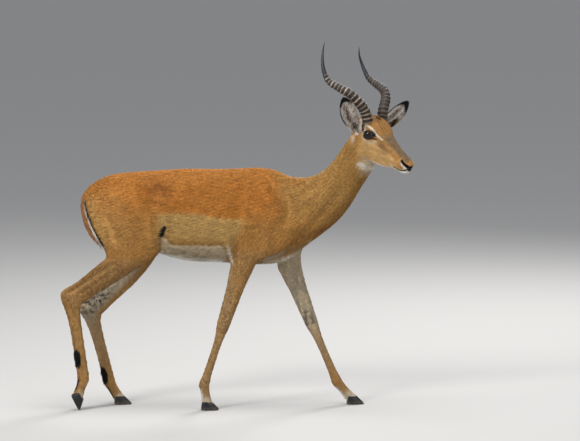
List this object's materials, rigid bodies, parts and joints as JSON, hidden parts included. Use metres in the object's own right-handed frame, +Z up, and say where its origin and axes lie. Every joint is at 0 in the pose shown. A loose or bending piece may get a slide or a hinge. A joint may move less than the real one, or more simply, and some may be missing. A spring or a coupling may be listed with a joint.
{
  "type": "impala antelope",
  "caption": "Life-size impala ram in a slow walk, head turned to its right, with ridged lyre-shaped horns, cupped ears and cloven hooves.",
  "frame": {"origin": "middle of the bounding box, on the floor under the animal", "axes": "+X the way the animal walks, +Y towards its left side, +Z up"},
  "size_m": [1.234, 0.3082, 1.2892],
  "materials": {
    "coat": "short fur, rufous saddle, fawn flanks, white belly",
    "leg_coat": "short fur, fawn outside, pale inside, black marks",
    "tail_hair": "hair, rufous with white edges",
    "ear_coat": "short fur, pale inside, black tip",
    "horn": "ridged, satin, smooth dark tip",
    "hoof": "satin black",
    "eye": "wet gloss"
  },
  "bodies": {
    "root": {"ear_left": "ear_coat", "ear_right": "ear_coat", "eye_left": "eye", "eye_right": "eye", "foreleg_left_lower": "leg_coat", "foreleg_left_upper": "leg_coat", "foreleg_right_lower": "leg_coat", "foreleg_right_upper": "leg_coat", "head": "coat", "hindleg_left_lower": "leg_coat", "hindleg_left_upper": "leg_coat", "hindleg_right_lower": "leg_coat", "hindleg_right_upper": "leg_coat", "hoof_fore_left_left": "hoof", "hoof_fore_left_right": "hoof", "hoof_fore_right_left": "hoof", "hoof_fore_right_right": "hoof", "hoof_hind_left_left": "hoof", "hoof_hind_left_right": "hoof", "hoof_hind_right_left": "hoof", "hoof_hind_right_right": "hoof", "horn_left": "horn", "horn_right": "horn", "neck": "coat", "tail": "tail_hair", "trunk": "coat"}
  },
  "joints": []
}
